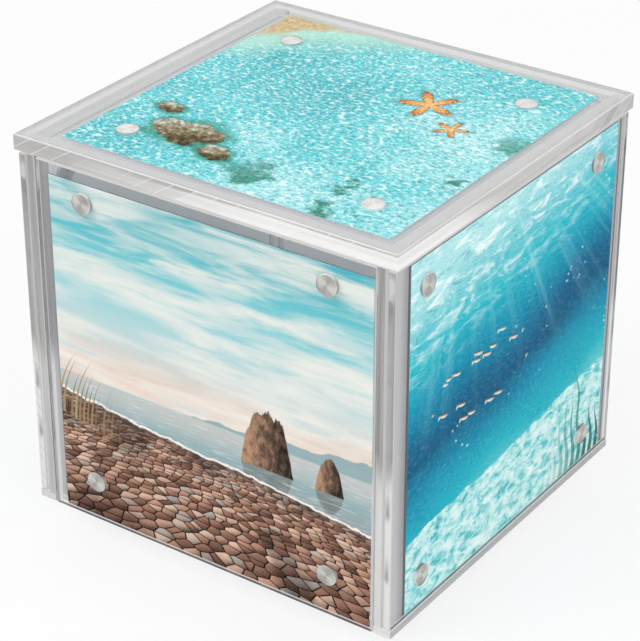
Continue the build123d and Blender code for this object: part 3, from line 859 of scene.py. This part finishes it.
def turnedDisc(given, look):  # a disc with rounded edges, turned about z from its middle
    tree = given["Radius"].id_data
    grid = put("GeometryNodeMeshGrid", {
        "Size X": 1.0, "Size Y": 1.0, "Vertices X": look["segments"] + 1, "Vertices Y": look["rings"]}, tree)
    spot = put("ShaderNodeSeparateXYZ", {0: put("GeometryNodeInputPosition", tree=tree).outputs[0]}).outputs
    angle = times(spot[0], 2 * math.pi)
    slant = times(spot[1], math.pi)
    exponent = divided(2.0, given["Squareness"])
    reach = times(power(larger(cosine(slant), 0.0), exponent), given["Radius"])
    rise = sine(slant)
    level = times(power(absolute(rise), exponent), sign(rise))
    height = times(level, given["Thickness"], 0.5)
    place = point(times(cosine(angle), reach), times(sine(angle), reach), height)
    shaped = put("GeometryNodeSetPosition", {"Geometry": grid.outputs["Mesh"], "Position": place})
    return put("GeometryNodeMergeByDistance", {"Geometry": shaped.outputs[0], "Distance": 1e-7}).outputs[0]


def finishTree(instances, given, out):
    real = put("GeometryNodeRealizeInstances", {0: instances})
    smooth = put("GeometryNodeSetShadeSmooth", {"Geometry": real.outputs[0], "Shade Smooth": True})
    painted = put("GeometryNodeSetMaterial", {"Geometry": smooth.outputs[0], "Material": given["Material"]})
    feed(out, painted.outputs[0])


def growPiece(name, tree, values):  # evaluates the tree and keeps its result as a plain mesh
    piece = bpy.data.objects.new(name, bpy.data.meshes.new(name))
    scene.collection.objects.link(piece)
    modifier = piece.modifiers.new("grow", "NODES")
    modifier.node_group = tree
    labels = {s.name: s.identifier for s in tree.interface.items_tree if s.in_out == "INPUT"}
    for label, value in values.items():
        modifier[labels[label]] = value
    bpy.context.view_layer.update()
    grown = bpy.data.meshes.new_from_object(piece.evaluated_get(bpy.context.evaluated_depsgraph_get()))
    grown.name = name
    piece.modifiers.clear()
    piece.data = grown
    return piece


def magnetTree():
    tree, given, out = newTree("magnetGrid", {
        "Radius": "length", "Thickness": "length", "Squareness": "length", "Span X": "length",
        "Span Y": "length", "Middle": "place", "Turn": "turn", "Material": "material"})
    disc = turnedDisc(given, magnetLook)
    corners = put("GeometryNodeMeshGrid", {
        "Size X": given["Span X"], "Size Y": given["Span Y"], "Vertices X": 2, "Vertices Y": 2})
    placed = put("GeometryNodeInstanceOnPoints", {"Points": corners.outputs["Mesh"], "Instance": disc})
    stood = put("GeometryNodeTransform", {
        "Geometry": placed.outputs[0], "Translation": given["Middle"], "Rotation": given["Turn"]})
    finishTree(stood.outputs[0], given, out)
    return tree


def makeMagnets(nodeName, body):
    low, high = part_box(nodeName)
    size = high - low
    thin = thinAxis(size)
    spans = [size[i] for i in range(3) if i != thin]
    radius = magnetLook["radius"]
    piece = growPiece("{}_discs".format(nodeName), discTree, {
        "Radius": radius, "Thickness": size[thin], "Squareness": magnetLook["squareness"],
        "Span X": spans[0] - 2 * radius, "Span Y": spans[1] - 2 * radius, "Middle": (low + high) / 2,
        "Turn": magnetLook["turns"]["xyz"[thin]], "Material": (acrossNickel, alongNickel, lidNickel)[thin]})
    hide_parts(nodeName)
    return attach(piece, body)


discTree = magnetTree()
for side in sides:
    makeMagnets(side + "_cover_magnets", side + "_cover")
    makeMagnets(side + "_wall_magnets", "cube")
makeMagnets("lid_magnets", "lid")
makeMagnets("top_panel_magnets", "cube")
print("magnets made")


def ringTree(name, inputs, build):  # a level ring of one shape, which build makes
    tree, given, out = newTree(name, inputs | {
        "Radius": "length", "Ring radius": "length", "Count": "count", "Level": "place",
        "Material": "material"})
    ring = put("GeometryNodeMeshCircle", {"Vertices": given["Count"], "Radius": given["Ring radius"]})
    placed = put("GeometryNodeInstanceOnPoints", {"Points": ring.outputs[0], "Instance": build(given)})
    raised = put("GeometryNodeTransform", {"Geometry": placed.outputs[0], "Translation": given["Level"]})
    finishTree(raised.outputs[0], given, out)
    return tree


def roundBall(given):
    inputs = {"Segments": ballLook["segments"], "Rings": ballLook["rings"], "Radius": given["Radius"]}
    return put("GeometryNodeMeshUVSphere", inputs).outputs["Mesh"]


def roundPad(given):
    return turnedDisc(given, footLook)


ballLook = {"radius": 0.0015, "ring": 0.027, "count": 16, "segments": 32, "rings": 20}
low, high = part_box("bearing_balls")
balls = growPiece("bearing_ball_ring", ringTree("ballRing", {}, roundBall), {
    "Radius": ballLook["radius"], "Ring radius": ballLook["ring"], "Count": ballLook["count"],
    "Level": (0, 0, (low.z + high.z) / 2), "Material": bearingSteel})
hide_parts("bearing_balls")
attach(balls, "bearing")

footLook = {"radius": 0.0045, "squareness": 9.0, "ring": 0.0285, "count": 4, "segments": 64, "rings": 25}
low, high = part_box("foot_pads")
padTree = ringTree("footRing", {"Thickness": "length", "Squareness": "length"}, roundPad)
feet = growPiece("foot_pad_ring", padTree, {
    "Radius": footLook["radius"], "Thickness": high.z - low.z, "Squareness": footLook["squareness"],
    "Ring radius": footLook["ring"], "Count": footLook["count"], "Level": (0, 0, (low.z + high.z) / 2),
    "Material": footRubber})
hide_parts("foot_pads")
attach(feet, "base")
print("balls and feet made")


# floor, light and camera

stageLook = {"floorSide": 6.0, "floor": "#f4f4f4", "grain": "#ececec", "sky": "#ffffff", "skyLight": 0.62,
             "white": 0.75}


def seenRays(tree):  # 1 for what the camera sees, also in mirrors and through the sheets
    ray = put("ShaderNodeLightPath", tree=tree).outputs
    return larger(ray["Is Camera Ray"], ray["Is Glossy Ray"], ray["Is Transmission Ray"])


def makeFloor():
    look = stageLook
    half = look["floorSide"] / 2
    mesh = bpy.data.meshes.new("floor")
    corners = [(-half, -half, 0), (half, -half, 0), (half, half, 0), (-half, half, 0)]
    mesh.from_pydata(corners, [], [(0, 1, 2, 3)])
    floor = bpy.data.objects.new("floor", mesh)
    scene.collection.objects.link(floor)
    material, tree, shader = newMaterial("palePaper")
    grain = noise(coords(tree)["Object"], 400.0, 3, 0.6)
    feedAll(shader, {
        "Base Color": mix(grain, look["floor"], look["grain"]), "Roughness": 0.9,
        "Specular IOR Level": 0.0})
    glow = put("ShaderNodeEmission", {"Color": "#ffffff", "Strength": 1.0}, tree)
    both = mixShader(times(seenRays(tree), look["white"]), shader, glow)
    feed(tree.nodes["Material Output"].inputs["Surface"], both.outputs[0])
    mesh.materials.append(material)


def makeSky():
    world = bpy.data.worlds.new("softSky")
    scene.world = world
    world.use_nodes = True
    tree = world.node_tree
    light = tree.nodes["Background"]
    feedAll(light, {"Color": stageLook["sky"], "Strength": stageLook["skyLight"]})
    shown = put("ShaderNodeBackground", {"Color": "#ffffff", "Strength": 1.0}, tree)
    both = mixShader(seenRays(tree), light, shown)
    feed(tree.nodes["World Output"].inputs["Surface"], both.outputs[0])


lampLooks = {
    "keyLamp": {"place": (-0.75, -1.05, 1.15), "side": 1.0, "power": 9.0},
    "fillLamp": {"place": (1.25, -0.35, 0.75), "side": 1.0, "power": 6.0},
    "topLamp": {"place": (0.1, -0.1, 1.5), "side": 1.2, "power": 6.0},
}
lampAim = Vector((0, 0, 0.05))


def makeLamp(name):
    look = lampLooks[name]
    lamp = bpy.data.lights.new(name, "AREA")
    lamp.shape, lamp.size, lamp.energy = "SQUARE", look["side"], look["power"]
    holder = bpy.data.objects.new(name, lamp)
    holder.location = look["place"]
    holder.rotation_euler = (lampAim - Vector(look["place"])).to_track_quat("-Z", "Y").to_euler()
    scene.collection.objects.link(holder)


cameraLook = {"azimuth": 34.967, "elevation": 29.106, "distance": 0.5354,
              "aim": (-0.00168, -0.00118, 0.04760), "lens": 130.46, "sensor": 36.0, "clip": (0.01, 20.0)}


def makeCamera():
    look = cameraLook
    turn, lift = math.radians(look["azimuth"]), math.radians(look["elevation"])
    back = Vector((math.sin(turn) * math.cos(lift), -math.cos(turn) * math.cos(lift), math.sin(lift)))
    lens = bpy.data.cameras.new("camera")
    lens.lens, lens.sensor_width = look["lens"], look["sensor"]
    lens.clip_start, lens.clip_end = look["clip"]
    camera = bpy.data.objects.new("camera", lens)
    camera.location = Vector(look["aim"]) + back * look["distance"]
    camera.rotation_euler = (-back).to_track_quat("-Z", "Y").to_euler()
    scene.collection.objects.link(camera)
    scene.camera = camera


makeFloor()
makeSky()
for name in lampLooks:
    makeLamp(name)
makeCamera()
scene.view_settings.view_transform = "Standard"
scene.cycles.max_bounces = 48  # light runs a long way inside the sheets
scene.cycles.glossy_bounces = 48
scene.cycles.transmission_bounces = 48
scene.cycles.diffuse_bounces = 10
scene.cycles.transparent_max_bounces = 64
print("stage set")
